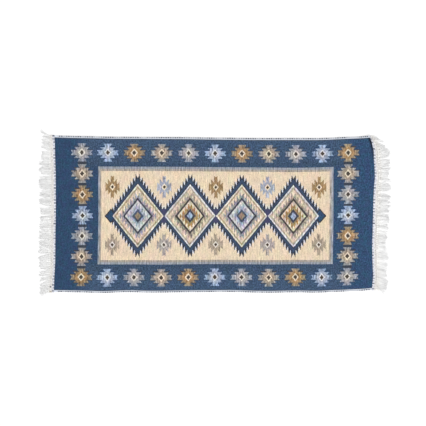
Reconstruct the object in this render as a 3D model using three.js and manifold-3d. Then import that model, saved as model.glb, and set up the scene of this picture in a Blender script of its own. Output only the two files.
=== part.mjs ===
// Reversible kilim rug, lying flat: the woven cloth, a white overcast binding along
// each long edge and a knotted fringe at each end.
// Millimetres, +Z up. The rug lies on z = 0 with its length along X, and the middle
// of its box is the origin. "Far" is the long edge at +Y and "near" the one at -Y.

import * as THREE from 'three';
import { mergeVertices } from 'three/addons/utils/BufferGeometryUtils.js';
import Module from 'manifold-3d';

const wasm = await Module();
wasm.setup();

// Driving dimensions
const CLOTH_THICKNESS = 3;
const CLOTH_ROUNDING = 1;
const CLOTH_COLUMNS = 32;
const CLOTH_ROWS = 22;
const PIECE_GAP = 0.34;

const BINDING_WIDTH = 10.6;
const STRIP_THICKNESS = 2.8;

const LOCKS_PER_END = 76;
const LOCK_ROOT_DEPTH = 2;
const LOCK_SIDE_JITTER = 0.9;
const LOCK_LENGTH_JITTER = 5;
const CLUMP_SIZE = 5;
const CLUMP_PULL = 0.22;

// The far right corner of the cloth is drawn in and curls up a little.
const CURL_HEIGHT = 3;
const CURL_SPREAD = 30;
const CURL_FROM = { x: 659, y: 331 };
const CURL_TO = { x: 681, y: 262 };

// The cloth's outline as it lies, from the middle of its woven pattern. Hand-woven
// edges wander, so each edge has its own stations.
const FAR_EDGE = [
  { x: -690, y: 332 },
  { x: -672, y: 331.3 },
  { x: -569, y: 328.7 },
  { x: -415, y: 326.1 },
  { x: -184, y: 324.9 },
  { x: 47, y: 322.3 },
  { x: 150, y: 320.6 },
  { x: 458, y: 320.6 },
  { x: 535, y: 324.4 },
  { x: 612, y: 327.4 },
  { x: 662, y: 330.8 },
];
const NEAR_EDGE = [
  { x: -690, y: -320.6 },
  { x: -569, y: -322.7 },
  { x: -492, y: -325.3 },
  { x: -364, y: -321.4 },
  { x: -287, y: -324 },
  { x: -107, y: -321.9 },
  { x: 47, y: -320.6 },
  { x: 227, y: -324.4 },
  { x: 355, y: -322.3 },
  { x: 432, y: -324.4 },
  { x: 509, y: -320.6 },
  { x: 612, y: -316.7 },
  { x: 674, y: -311.5 },
];
const LEFT_EDGE = [
  { y: -345, x: -689.4 },
  { y: -287, x: -688.2 },
  { y: -184, x: -684.6 },
  { y: -98, x: -684 },
  { y: 38, x: -680.7 },
  { y: 158, x: -681.4 },
  { y: 261, x: -684.4 },
  { y: 345, x: -687.4 },
];
const RIGHT_EDGE = [
  { y: -345, x: 670.5 },
  { y: -269, x: 676.2 },
  { y: -218, x: 673.7 },
  { y: -132, x: 672 },
  { y: -81, x: 674.1 },
  { y: 38, x: 676.7 },
  { y: 124, x: 680.5 },
  { y: 158, x: 684.4 },
  { y: 192, x: 682.7 },
  { y: 261, x: 680.5 },
  { y: 295, x: 673.7 },
  { y: 329, x: 660.5 },
  { y: 345, x: 653.5 },
];

// The binding's section: two cords side by side, the wide one next to the cloth.
// "out" is the distance from the binding's inner side and "up" the height.
const BINDING_SECTION = [
  { out: 0.5, up: 0 },
  { out: 10, up: 0 },
  { out: BINDING_WIDTH, up: 1.3 },
  { out: 10, up: 2.7 },
  { out: 8.4, up: 3.4 },
  { out: 6.6, up: 2.5 },
  { out: 4.6, up: 3.8 },
  { out: 1.6, up: 3.6 },
  { out: 0, up: 1.8 },
];

// Each end: the strip that the warps are bound into, and where its locks reach.
// "at" is a lock's place across the rug, "tip" the x that it reaches and "drift"
// how far its tip has moved across.
const LEFT_END = {
  side: -1,
  edge: LEFT_EDGE,
  stripWidth: 20,
  seed: 11,
  reach: [
    { at: -332, tip: -741, drift: -16 },
    { at: -318, tip: -750, drift: -11 },
    { at: -270, tip: -752, drift: -4 },
    { at: -150, tip: -757, drift: 0 },
    { at: -60, tip: -751, drift: 0 },
    { at: 100, tip: -751, drift: 0 },
    { at: 175, tip: -757, drift: -1 },
    { at: 261, tip: -744, drift: 0 },
    { at: 310, tip: -747, drift: 3 },
    { at: 333, tip: -748, drift: 10 },
    { at: 341, tip: -736, drift: 26 },
  ],
};
const RIGHT_END = {
  side: 1,
  edge: RIGHT_EDGE,
  stripWidth: 16.5,
  seed: 29,
  reach: [
    { at: -324, tip: 731, drift: -14 },
    { at: -270, tip: 738, drift: -11 },
    { at: -184, tip: 738, drift: -11 },
    { at: -140, tip: 729, drift: -9 },
    { at: -81, tip: 730, drift: -6 },
    { at: -50, tip: 744, drift: -3 },
    { at: 30, tip: 749, drift: -1 },
    { at: 261, tip: 749, drift: 0 },
    { at: 300, tip: 729, drift: 3 },
    { at: 341, tip: 706, drift: 5 },
  ],
};

// A lock from its root in the strip to its tip: a knot, the neck behind it and the
// loose yarns. "along" is a share of the lock's length outside the strip.
const LOCK_FORM = [
  { along: 0.06, width: 6.2, height: 3.2 },
  { along: 0.16, width: 4.6, height: 2.3 },
  { along: 0.55, width: 6.2, height: 2.2 },
  { along: 1, width: 4.8, height: 1.5 },
];
const LOCK_ROOT = { width: 4.4, height: 2.1, floor: 0.2 };
const LOCK_TOP_SHARE = 0.55;

// Colours of the yarns
const COLOURS = {
  cloth: 0x355178,
  binding: 0xe6e4e6,
  fringe: 0xecebe8,
};

const ease = (share) => THREE.MathUtils.smoothstep(share, 0, 1);

// The value in column "value" of a table where its column "key" is at "at"
function read(table, key, at, value) {
  const last = table.length - 1;
  if (at <= table[0][key]) {
    return table[0][value];
  }
  if (at >= table[last][key]) {
    return table[last][value];
  }
  const next = table.findIndex((row) => row[key] > at);
  const low = table[next - 1];
  const high = table[next];
  const share = (at - low[key]) / (high[key] - low[key]);
  return THREE.MathUtils.lerp(low[value], high[value], ease(share));
}

const farEdgeY = (x) => read(FAR_EDGE, 'x', x, 'y');
const nearEdgeY = (x) => read(NEAR_EDGE, 'x', x, 'y');
const leftEdgeX = (y) => read(LEFT_EDGE, 'y', y, 'x');
const rightEdgeX = (y) => read(RIGHT_EDGE, 'y', y, 'x');

// The point of the cloth at shares s along its length and t across its width
function clothPoint(s, t) {
  const levelY = THREE.MathUtils.lerp(nearEdgeY(0), farEdgeY(0), t);
  const x = THREE.MathUtils.lerp(leftEdgeX(levelY), rightEdgeX(levelY), s);
  const y = THREE.MathUtils.lerp(nearEdgeY(x), farEdgeY(x), t);
  return new THREE.Vector3(x, y, 0);
}

// How high the curled corner lifts what lies at x, y
function curlAt(x, y) {
  const run = new THREE.Vector2(CURL_TO.x - CURL_FROM.x, CURL_TO.y - CURL_FROM.y);
  const from = new THREE.Vector2(x - CURL_FROM.x, y - CURL_FROM.y);
  const share = THREE.MathUtils.clamp(from.dot(run) / run.lengthSq(), 0, 1);
  const away = from.sub(run.multiplyScalar(share)).length();
  return CURL_HEIGHT * ease(1 - away / CURL_SPREAD);
}

function geometryOf(points, faces) {
  const geometry = new THREE.BufferGeometry();
  const places = points.flatMap((point) => [point.x, point.y, point.z]);
  geometry.setAttribute('position', new THREE.Float32BufferAttribute(places, 3));
  geometry.setIndex(faces);
  return geometry;
}

// The cloth: a top and a bottom face of the same grid, joined by a rounded rim
function clothGeometry() {
  const points = [];
  const faces = [];
  const row = CLOTH_ROWS + 1;
  const length = rightEdgeX(0) - leftEdgeX(0);
  const width = farEdgeY(0) - nearEdgeY(0);

  function addPoint(i, j, inset, height) {
    const s = THREE.MathUtils.lerp(inset / length, 1 - inset / length, i / CLOTH_COLUMNS);
    const t = THREE.MathUtils.lerp(inset / width, 1 - inset / width, j / CLOTH_ROWS);
    const point = clothPoint(s, t);
    point.z = height + curlAt(point.x, point.y);
    points.push(point);
    return points.length - 1;
  }

  function addFace(height, facesUp) {
    const start = points.length;
    for (let i = 0; i <= CLOTH_COLUMNS; i += 1) {
      for (let j = 0; j <= CLOTH_ROWS; j += 1) {
        addPoint(i, j, CLOTH_ROUNDING, height);
      }
    }
    for (let i = 0; i < CLOTH_COLUMNS; i += 1) {
      for (let j = 0; j < CLOTH_ROWS; j += 1) {
        const a = start + i * row + j;
        const [b, c, d] = [a + row, a + row + 1, a + 1];
        faces.push(...(facesUp ? [a, b, c, a, c, d] : [a, c, b, a, d, c]));
      }
    }
    return start;
  }

  const bottom = addFace(0, false);
  const top = addFace(CLOTH_THICKNESS, true);
  const rim = [];
  for (let i = 0; i < CLOTH_COLUMNS; i += 1) {
    rim.push([i, 0]);
  }
  for (let j = 0; j < CLOTH_ROWS; j += 1) {
    rim.push([CLOTH_COLUMNS, j]);
  }
  for (let i = CLOTH_COLUMNS; i > 0; i -= 1) {
    rim.push([i, CLOTH_ROWS]);
  }
  for (let j = CLOTH_ROWS; j > 0; j -= 1) {
    rim.push([0, j]);
  }
  const middle = rim.map(([i, j]) => addPoint(i, j, 0, CLOTH_THICKNESS / 2));
  rim.forEach(([i, j], k) => {
    const next = (k + 1) % rim.length;
    const here = i * row + j;
    const there = rim[next][0] * row + rim[next][1];
    const [low, high] = [bottom + here, top + here];
    const [lowNext, highNext] = [bottom + there, top + there];
    faces.push(low, lowNext, middle[next], low, middle[next], middle[k]);
    faces.push(middle[k], middle[next], highNext, middle[k], highNext, high);
  });
  return geometryOf(points, faces);
}

// A closed solid through rings of points that turn the same way, with flat caps.
// "section" is the ring's flat outline, which the caps are cut from.
function loft(rings, section) {
  const count = section.length;
  const caps = THREE.ShapeUtils.triangulateShape(section, []);
  const faces = [];
  for (let k = 0; k < rings.length - 1; k += 1) {
    for (let i = 0; i < count; i += 1) {
      const a = k * count + i;
      const b = k * count + ((i + 1) % count);
      faces.push(a, b, b + count, a, b + count, a + count);
    }
  }
  const end = (rings.length - 1) * count;
  caps.forEach(([a, b, c]) => {
    faces.push(a, c, b);
    faces.push(end + a, end + b, end + c);
  });
  const geometry = geometryOf(rings.flat(), faces);
  return volumeOf(geometry) < 0 ? turnedOut(geometry) : geometry;
}

function volumeOf(geometry) {
  const place = geometry.getAttribute('position');
  const index = geometry.getIndex().array;
  const corner = (k) => new THREE.Vector3().fromBufferAttribute(place, index[k]);
  let sum = 0;
  for (let k = 0; k < index.length; k += 3) {
    sum += corner(k).dot(corner(k + 1).cross(corner(k + 2)));
  }
  return sum / 6;
}

function turnedOut(geometry) {
  const index = Array.from(geometry.getIndex().array);
  for (let k = 0; k < index.length; k += 3) {
    [index[k + 1], index[k + 2]] = [index[k + 2], index[k + 1]];
  }
  geometry.setIndex(index);
  return geometry;
}

// The line that an end's strip and the bindings' ends follow: the cloth's end edge,
// carried on past both bindings.
function endLine(end) {
  const s = end.side < 0 ? 0 : 1;
  const beyond = PIECE_GAP + BINDING_WIDTH;
  const line = [];
  for (let j = 0; j <= CLOTH_ROWS; j += 1) {
    line.push(clothPoint(s, j / CLOTH_ROWS));
  }
  const nearY = line[0].y - beyond;
  const farY = line[CLOTH_ROWS].y + beyond;
  line.unshift(new THREE.Vector3(read(end.edge, 'y', nearY, 'x'), nearY, 0));
  line.push(new THREE.Vector3(read(end.edge, 'y', farY, 'x'), farY, 0));
  return line;
}

// The x of an end's line at height y of the plan
function endLineX(end, y) {
  const line = endLine(end);
  const found = line.findIndex((point) => point.y > y);
  const next = found < 0 ? line.length - 1 : Math.max(found, 1);
  const [low, high] = [line[next - 1], line[next]];
  return THREE.MathUtils.mapLinear(y, low.y, high.y, low.x, high.x);
}

// The binding along one long edge. "side" is 1 for the far edge and -1 for the near.
function bindingGeometry(side) {
  const t = side > 0 ? 1 : 0;
  const rings = [];
  for (let k = 0; k <= CLOTH_COLUMNS; k += 1) {
    const edge = clothPoint(k / CLOTH_COLUMNS, t);
    rings.push(BINDING_SECTION.map(({ out, up }) => {
      const y = edge.y + side * (PIECE_GAP + out);
      let x = edge.x;
      if (k === 0) {
        x = endLineX(LEFT_END, y) + PIECE_GAP;
      } else if (k === CLOTH_COLUMNS) {
        x = endLineX(RIGHT_END, y) - PIECE_GAP;
      }
      return new THREE.Vector3(x, y, up + curlAt(x, y));
    }));
  }
  const section = BINDING_SECTION.map(({ out, up }) => new THREE.Vector2(out, up));
  return loft(rings, section);
}

function stripGeometry(end) {
  const width = end.stripWidth;
  const section = [
    { out: 0.5, up: 0 },
    { out: width - 0.4, up: 0 },
    { out: width, up: 1.2 },
    { out: width - 1, up: STRIP_THICKNESS },
    { out: 1, up: STRIP_THICKNESS },
    { out: 0, up: 1.4 },
  ];
  const rings = endLine(end).map((edge) => {
    const lift = curlAt(edge.x, edge.y);
    return section.map(({ out, up }) => {
      const x = edge.x + end.side * (PIECE_GAP + out);
      const fall = 1 - ease(out / (width - LOCK_ROOT_DEPTH));
      return new THREE.Vector3(x, edge.y, up + lift * fall);
    });
  });
  return loft(rings, section.map(({ out, up }) => new THREE.Vector2(out, up)));
}

// An even spread of numbers from -1 to 1 that is the same on each run
function seededSpread(seed) {
  let state = seed;
  return () => {
    state = (state * 16807) % 2147483647;
    return (state / 2147483647) * 2 - 1;
  };
}

// One lock: a four-sided tapering solid that rests level on the floor
function lockGeometry(end, y, tip, spread) {
  const edgeX = endLineX(end, y) + end.side * PIECE_GAP;
  const rootX = edgeX + end.side * (end.stripWidth - LOCK_ROOT_DEPTH);
  const stripX = edgeX + end.side * end.stripWidth;
  const bend = spread() * LOCK_SIDE_JITTER;

  function ring(x, middleY, form, floor) {
    const half = form.width / 2;
    const halfTop = half * LOCK_TOP_SHARE;
    return [
      new THREE.Vector3(x, middleY - half, floor),
      new THREE.Vector3(x, middleY + half, floor),
      new THREE.Vector3(x, middleY + halfTop, form.height),
      new THREE.Vector3(x, middleY - halfTop, form.height),
    ];
  }

  const rings = [ring(rootX, y, LOCK_ROOT, LOCK_ROOT.floor)];
  LOCK_FORM.forEach((form) => {
    const x = THREE.MathUtils.lerp(stripX, tip.x, form.along);
    const drift = (tip.y - y) * form.along ** 1.5;
    const wave = bend * Math.sin(Math.PI * form.along);
    rings.push(ring(x, y + drift + wave, form, 0));
  });
  const flat = rings[0].map((point) => new THREE.Vector2(point.y, point.z));
  return loft(rings, flat);
}

// The places of an end's locks, gathered a little into clumps at their tips
function lockPlaces(end) {
  const line = endLine(end);
  const from = line[0].y;
  const spread = seededSpread(end.seed);
  const pitch = (line[line.length - 1].y - from) / LOCKS_PER_END;
  const places = [];
  for (let k = 0; k < LOCKS_PER_END; k += 1) {
    const y = from + pitch * (k + 0.5);
    const inClump = (k % CLUMP_SIZE) - (CLUMP_SIZE - 1) / 2;
    const pull = -inClump * pitch * CLUMP_PULL;
    const drift = read(end.reach, 'at', y, 'drift');
    const reachX = read(end.reach, 'at', y, 'tip');
    const shorter = Math.abs(spread()) * LOCK_LENGTH_JITTER;
    places.push({ y, tip: { x: reachX - end.side * shorter, y: y + drift + pull } });
  }
  return { places, spread };
}

function toManifold(geometry) {
  const merged = mergeVertices(geometry);
  return new wasm.Manifold(new wasm.Mesh({
    numProp: 3,
    vertProperties: new Float32Array(merged.getAttribute('position').array),
    triVerts: new Uint32Array(merged.getIndex().array),
  }));
}

function toGeometry(manifold) {
  const mesh = manifold.getMesh();
  const geometry = new THREE.BufferGeometry();
  geometry.setAttribute('position', new THREE.BufferAttribute(mesh.vertProperties, 3));
  geometry.setIndex(Array.from(mesh.triVerts));
  return geometry;
}

// The strip with every lock's root fused into it
function fringeGeometry(end) {
  const { places, spread } = lockPlaces(end);
  let body = toManifold(stripGeometry(end));
  places.forEach(({ y, tip }) => {
    body = body.add(toManifold(lockGeometry(end, y, tip, spread)));
  });
  return toGeometry(body);
}

function piece(name, geometry, colour, roughness) {
  const material = new THREE.MeshStandardMaterial({ color: colour, roughness, metalness: 0 });
  const mesh = new THREE.Mesh(geometry, material);
  mesh.name = name;
  return mesh;
}

const rug = new THREE.Group();
rug.add(piece('rug_cloth', clothGeometry(), COLOURS.cloth, 0.95));
rug.add(piece('binding_far', bindingGeometry(1), COLOURS.binding, 0.9));
rug.add(piece('binding_near', bindingGeometry(-1), COLOURS.binding, 0.9));
rug.add(piece('fringe_left', fringeGeometry(LEFT_END), COLOURS.fringe, 0.9));
rug.add(piece('fringe_right', fringeGeometry(RIGHT_END), COLOURS.fringe, 0.9));

// The origin is under the middle of the whole rug, fringe and all.
const middle = new THREE.Box3().setFromObject(rug).getCenter(new THREE.Vector3());
rug.position.set(-middle.x, -middle.y, 0);

const group = new THREE.Group();
group.add(rug);

export default group;
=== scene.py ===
from collections import namedtuple
from functools import partialmethod
from types import SimpleNamespace as Values

import bpy
import numpy as np
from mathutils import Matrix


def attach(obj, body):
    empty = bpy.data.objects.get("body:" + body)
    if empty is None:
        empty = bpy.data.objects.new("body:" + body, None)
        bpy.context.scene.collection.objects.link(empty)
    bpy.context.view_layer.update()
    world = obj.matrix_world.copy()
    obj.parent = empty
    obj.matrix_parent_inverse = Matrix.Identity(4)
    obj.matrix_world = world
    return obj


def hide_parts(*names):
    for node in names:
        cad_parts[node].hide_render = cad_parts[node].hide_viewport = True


# A reversible kilim rug laid out flat: a weft-faced cloth with the same pattern on both faces, an
# overcast binding along each long edge and a knotted fringe at each end.
#
# Sizes are in millimetres. The rug as it was woven, flat and straight, has its own coordinates:
# u along its length and v across it, from the middle of its pattern. lay() says where such a
# point lies on the floor.

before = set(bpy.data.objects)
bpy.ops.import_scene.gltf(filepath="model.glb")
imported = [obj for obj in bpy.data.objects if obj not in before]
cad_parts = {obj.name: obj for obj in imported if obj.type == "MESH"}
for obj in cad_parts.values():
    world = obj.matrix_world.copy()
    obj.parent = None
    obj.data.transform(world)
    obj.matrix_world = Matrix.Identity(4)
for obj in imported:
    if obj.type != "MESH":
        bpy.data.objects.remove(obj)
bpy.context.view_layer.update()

MM = 0.001

# The flat cloth. Its ribs follow the warps, along u, and a pick is one step of the weft on them.
CLOTH_START, CLOTH_END = -684, 676
CLOTH_NEAR, CLOTH_FAR = -323, 325
THICKNESS = 3
RIB = 3
RIB_DEPTH = 0.4
ROWS_PER_RIB = 4
PICK = 1.6
PICK_DEPTH = 0.25
COLUMNS = 44
RIM = 1
PIECE_GAP = 0.34

# The pattern: a ring of stars round a framed field with four medallions and ten small stars
STAR_PITCH_U, STAR_COLUMNS = 114.8, 11
STAR_PITCH_V, STAR_ROWS = 89, 7
LAST_COLUMN = 570
LAST_ROW = STAR_PITCH_V * (STAR_ROWS - 1) / 2

FIELD = {"start": -488, "end": 490.6, "near": -192.2, "far": 189.3}
FRAME = {"start": -500.8, "end": 506.9, "near": -210.7, "far": 208}

MEDALLIONS = 4
MEDALLION_PITCH = 221.9
CHAIN_MIDDLE = (3.1, -2.2)
DIAMOND_SLOPE = 1.24

# The toothed edges of a medallion's bands. An edge starts from a height on the medallion's middle
# line, rises to a peak at a share of each tooth and falls from one tooth to the next.
TOOTH_PITCH = 11.43
BAND_EDGE = Values(start=161, rise=19, fall=15.35, peak=0.74)
OUTER_COMB = Values(start=85.5, rise=14, fall=14.1, peak=0.76)
INNER_COMB = Values(start=39.5, rise=14.5, fall=14, peak=0.66)

# The pale spikes between the teeth of the outer band. A spike begins a little before its notch,
# leans outwards and fades from "solid" to "length". "first" is the first one's strength.
SPIKE = Values(before=2.6, width=5.6, lean=0.3, solid=9, length=22, first=0.2)

# The outer band is inked outside "teeth", a line along its teeth, and inside "rim"
BAND_INK = Values(teeth=160, rim=114.2, least=0.45, more=0.45)

# Where two medallions meet: how far out the joint begins, how far its dark yarn reaches and
# where the pale yarn outside it has faded out
JOINT = Values(start=100, reach=30, pale=60, dark_share=0.85, pale_share=0.7)

# The rings of a medallion from the outside in, by where each ends along u or by its toothed
# edge. Medallions have the two colours by turns. A core is the colour at a ring's inside.
MEDALLION_RINGS = [
    {"ends": 109.8, "yarns": ("ivory_green", "ivory_cool")},
    {"ends": 102.9, "yarns": ("straw", "straw_grey")},
    {"ends": 94.5, "yarns": ("peach", "peach")},
    {"comb": OUTER_COMB, "yarns": ("ash", "ash_brown")},
    {"ends": 63.9, "yarns": ("ink_violet", "ink_brown")},
    {"ends": 54, "yarns": ("ivory_grey", "ivory_cream")},
    {"comb": INNER_COMB, "yarns": ("comb_blue", "comb_gold"), "core": ("core_blue", "core_gold")},
    {"ends": 24.3, "yarns": ("ink_blue", "ink_violet")},
    {"ends": 13.8, "yarns": ("heart_brown", "heart_blue")},
]

# How much the yarn of a comb and of another ring changes from place to place
COMB_CHANGE = Values(tone=2, tint=0.42)
RING_CHANGE = Values(tone=1.3, tint=0.24)

ARROWS = [-446.2, 449.5]
ARROW_HALVES = Values(ink=(28, 31.8), navy=(21, 24.8))

# A star's tiers, from "low" to "high" along one axis. The half width along the other goes from
# "narrow" to "wide".
BORDER_TIERS = [
    Values(low=0, high=10.2, narrow=40, wide=46.6),
    Values(low=10.2, high=23.5, narrow=21, wide=33.2),
    Values(low=23.5, high=37, narrow=9.5, wide=18.6),
]
BORDER_EYE = Values(ring=(15.4, 17.8), pupil=(9.4, 11.2))
STAR_YARNS = [
    {"body": "grey", "tip": "grey_tip", "ring": "ring_ivory", "halo": "halo_grey"},
    {"body": "sky", "tip": "sky_tip", "ring": "ring_grey", "halo": "halo_blue"},
    {"body": "gold", "tip": "gold_tip", "ring": "ring_cream", "halo": "halo_gold"},
    {"body": "taupe", "tip": "taupe_tip", "ring": "ring_cream", "halo": "halo_brown"},
]
HALO = Values(width=3.6, strength=0.85)
BETWEEN_STARS = 0.75
COLUMN_STAR_STRETCH = 0.04
STAR_TONE_CHANGE = 1.9

# A star's colour turns to its tip's by how far out a place is, as a share of the star's reach
STAR_TIP = Values(start=0.35, end=0.95, along=0.82, corner=0.72)

# The small stars: the middle of their rows, their pitch and their number in a row
FIELD_STARS = (2.9, 221.2, 5)
FIELD_STAR_TONE_CHANGE = 1.6
FIELD_ROWS = [
    Values(v=121.5, yarns=("brown", "field_sky"), ring="ring_cream"),
    Values(v=-126, yarns=("field_taupe", "field_grey"), ring="ring_ivory"),
]
FIELD_TIERS = [
    Values(low=0, high=7, narrow=43, wide=49),
    Values(low=7, high=19.8, narrow=19.5, wide=34.5),
    Values(low=19.8, high=30.6, narrow=10.5, wide=20.8),
]
FIELD_EYE = Values(ring=(12.6, 15.2), pupil=(7, 8.4))

# Soft changes from place to place, in millimetres along the rug, across it or outwards
Change = namedtuple("Change", "absent_at complete_at strength", defaults=[1])
CHANGES = dict(
    navy_brighter=Change(-500, 500, 0.16),
    navy_rougher=Change(560, 620, 0.9),
    worn_along=Change(620, 520),
    worn_across=Change(190, 225, 0.8),
    worn_outside=Change(215, 260),
    frame_brighter=Change(470, 500, 0.13),
    core_to_comb=Change(24, 38),
    stars_dimmer_left=Change(-500, -560, 0.09),
    stars_dimmer_near=Change(-200, -260, 0.05),
    # Where the painted shadow that the binding casts on the cloth's long edges lies
    binding_shadow=Change(318, 323.5, 0.6),
    # Where the painted shade of the curled far right corner lies, near the right end and towards
    # the far side
    curl_shade_end=Change(CLOTH_END - 13, CLOTH_END - 4),
    curl_shade_far=Change(195, CLOTH_FAR),
    binding_ends=Change(CLOTH_END, CLOTH_END - 14),
    strip_lilac=Change(10, 5),
    strip_to_loose=Change(15.5, 21),
    loose_to_tip=Change(22, 60),
    knots_beige=Change(29, 20),
    knots_darker_left=Change(28, 23, 0.05),
    necks_from=Change(20, 26, 0.02),
    necks_to=Change(46, 36),
    corner_knot_from=Change(8, 12, 0.8),
    corner_knot_to=Change(26, 22),
    far_strip_shade=Change(190, 275, 0.08),
    far_lock_shade=Change(58, 69, 0.08),
)

# The yarns' unevenness, with the size of its patches along and across the rug
Patches = namedtuple("Patches", "along across strength", defaults=[1])
UNEVEN = dict(
    wander=Patches(40, 40, 3),
    fray=Patches(7, 5, 9),
    patch=Patches(22, 22),
    depth=Patches(4.5, 6),
    streak=Patches(4.5, 35),
    mottle=Patches(6, 9),
    frame=Patches(6, 40, 2.3),
    ring_tint=Patches(13, 16),
    cloth_tint=Patches(26, 40, 0.1),
    dots=Patches(70, 90),
    cloud=Patches(6, 6),
)
NAVY_TONE = 0.97
PATCH_EDGE = 0.12
WORN = Values(least=0.2, strength=0.8, rougher=1.3)
CLOTH_TONE = Values(whole=1.04, streak=0.9, depth=0.8, grain=0.12)

# How the rug lies, by places along the pattern: how far its far row of stars, its middle and its
# near row have drifted along X, and where they lie across the floor
Place = namedtuple("Place", "u drift rows")
LAID = [
    Place(-570, (0, 3, -3.5), (267.5, -2.8, -265.5)),
    Place(-459, (0.2, 1, -2.4), (266.7, -2.6, -268)),
    Place(-344, (-1.1, -1.2, -2.8), (266, -2.4, -267.1)),
    Place(-230, (2, -0.1, -1), (265.5, -2.2, -268.8)),
    Place(-115, (1.9, 0.8, 0), (264.7, -2.1, -266.6)),
    Place(0, (0.4, 0.3, -0.8), (263.1, -2.1, -265.7)),
    Place(115, (0.5, 0, -1.1), (262.4, -2.1, -266.4)),
    Place(230, (1.2, 0, -0.3), (261.3, -2.6, -267.9)),
    Place(344, (1.2, -1.3, -0.6), (259.7, -3.4, -265.6)),
    Place(459, (1.2, -0.9, -3.1), (262.3, -2, -267.1)),
    Place(570, (-0.8, -0.3, -5.8), (266.6, -1.4, -263.2)),
]

# How far the cloth's two ends lie from the solid's, by the place across the rug
END_SHIFT = {
    "left": [(-300, 0), (-240, 1.3), (-40, 1.3), (20, 0)],
    "right": [(170, 0), (240, -2), (305, -2.7), (325, -2.2)],
}

# Low waves of the laid cloth, by their lengths along and across it, and a soft fold line
WAVES = [
    Values(along=410, across=900, phase=0.4, height=0.35),
    Values(along=173, across=310, phase=2.1, height=0.2),
    Values(along=640, across=214, phase=4, height=0.25),
]
FOLD = Values(u=30, width=7, height=0.9, near=-240, far=200, fade=60)
CURL = Values(height=3, spread=30, length=71)

# The binding's section, as places out and up: two cords side by side, the wide one outside. A
# row of dots runs along it between "start" and "end", with one dot to each two stitches.
BINDING_WIDTH = 10.6
BINDING_ROW = Values(start=3, end=8.2, soft=0.6, dot=0.5)
DOT_STRENGTH = Values(none=-0.16, full=0.1, least=0.7, more=0.8)
BINDING_SECTION = [
    (0.6, 0.3), (3, 0), (6.8, 0), (8.8, 0.2), (9.7, 0.8), (9.4, 1.9), (8.4, 2.8),
    (7, 3.3), (5.4, 3.1), (4.4, 2.3), (3.6, 3), (2.3, 3.4), (0.8, 3.1), (0, 1.8),
]
STITCH = 4.915
STITCH_DEPTH = 0.4
STITCH_DEPTH_ACROSS = 0.3
STEPS_PER_STITCH = 4
YARN_RELIEF = 0.2

# The fringe's strip, and the rows of points that go round its two long edges
STRIP_HEIGHT = 2.8
STRIP_STEPS = Values(first=0.5, inset=1.2, count=7, last=0.4)
FRINGE_NEAR = CLOTH_NEAR - (PIECE_GAP + BINDING_WIDTH)
FRINGE_FAR = CLOTH_FAR + (PIECE_GAP + BINDING_WIDTH)

# The bundles of loose yarn. Some neighbours draw together in a clump. A tip reaches as far as
# the solid does within a window round it, and is then shortened.
BUNDLES = 76
CLUMPING = 0.28
CLUMP_PULL = 0.35
TIPS = Values(wander=0.8, beside=4, samples=140, window=8, shorter=9)
YARN_LANES = range(-4, 5)
YARN_RADIUS = 0.6
YARN_FLATNESS = 1.3
YARN_STEPS = 14
YARN = Values(sides=6, root_depth=1.5, reach=(0.5, 3.6), lane=0.6, lane_growth=0.35)
YARN_BEND = Values(wave=0.8, turns=(0.8, 2.2), fan=1.8, lean=(0.7, 1.2), power=1.5)
YARN_LAYERS = Values(lower=0.2, upper=0.6, settles_from=0.3, settles_over=0.6)
YARN_TIP = Values(start=0.75, over=0.25, thinner=0.45)
KNOT = Values(sides=8, steps=9, start=0.3, length=5.4, wide=3, high=1.55)
KNOT_FORM = Values(cut=0.08, rest=0.84, fullness=0.6, waist=0.12, size=(0.9, 1.1))

# The flat places of the loose yarns lie beyond the cloth's, so that each yarn has its own
FIRST_YARN = 1000
YARN_GAP = 10
BUNDLE_GAP = 100

# The weft's dark ticks on the strips, and the changes in tone of strips and loose yarns
TICK = Values(pitch=12.67, width=0.42, shortest=3, longest=9.5, palest=0.25)
SECOND_TICK = Values(pitch=8.6, width=0.45, start=11.5, end=14.5, far=40, share=0.5)
TWINE = 4.4
STRIP_TONE = Values(twine=0.3, right=0.06, cloud_edge=0.1)
LOOSE_TONE = Values(right=0.02, bundle=0.16, bundle_right=0.08, yarn=0.2)
KNOTS_FURTHER_LEFT = 8
PLY = Values(along=3, across=1.8)

# The beige knot and the dark dot at the near left corner
CORNER_KNOT_V = -327
CORNER_DOT = Values(out=15, v=-309.5, radius=4, strength=0.75)

# The two fringes. "strip" is the strip's width and "strip_share" how much of it is left at a
# place across the rug. Its locks are "longer" than the solid's and, by place, "shorter" again,
# and their tips "drift" across the rug.
LEFT_FRINGE = Values(
    name="fringe_left",
    side=-1,
    strip=20,
    longer=-0.8,
    seed=5,
    drift=[
        (-334, -27), (-322, -15), (-270, -4), (-150, 0), (306, 3), (322, 11), (331, 34),
    ],
    shorter=[(255, 0), (280, 3), (310, 3), (325, 0)],
    strip_share=[(306, 1), (336, 1)],
)
RIGHT_FRINGE = Values(
    name="fringe_right",
    side=1,
    strip=16.5,
    longer=1,
    seed=8,
    drift=[
        (-336, -38), (-326, -18), (-318, -14), (-270, -11), (-184, -11),
        (-81, -6), (-50, -3), (30, -1), (290, 3), (336, -14),
    ],
    shorter=[(-190, 0), (-165, -6), (-85, -6), (-60, 0), (300, 0), (336, 19)],
    strip_share=[(306, 1), (336, 0.25)],
)

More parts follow.
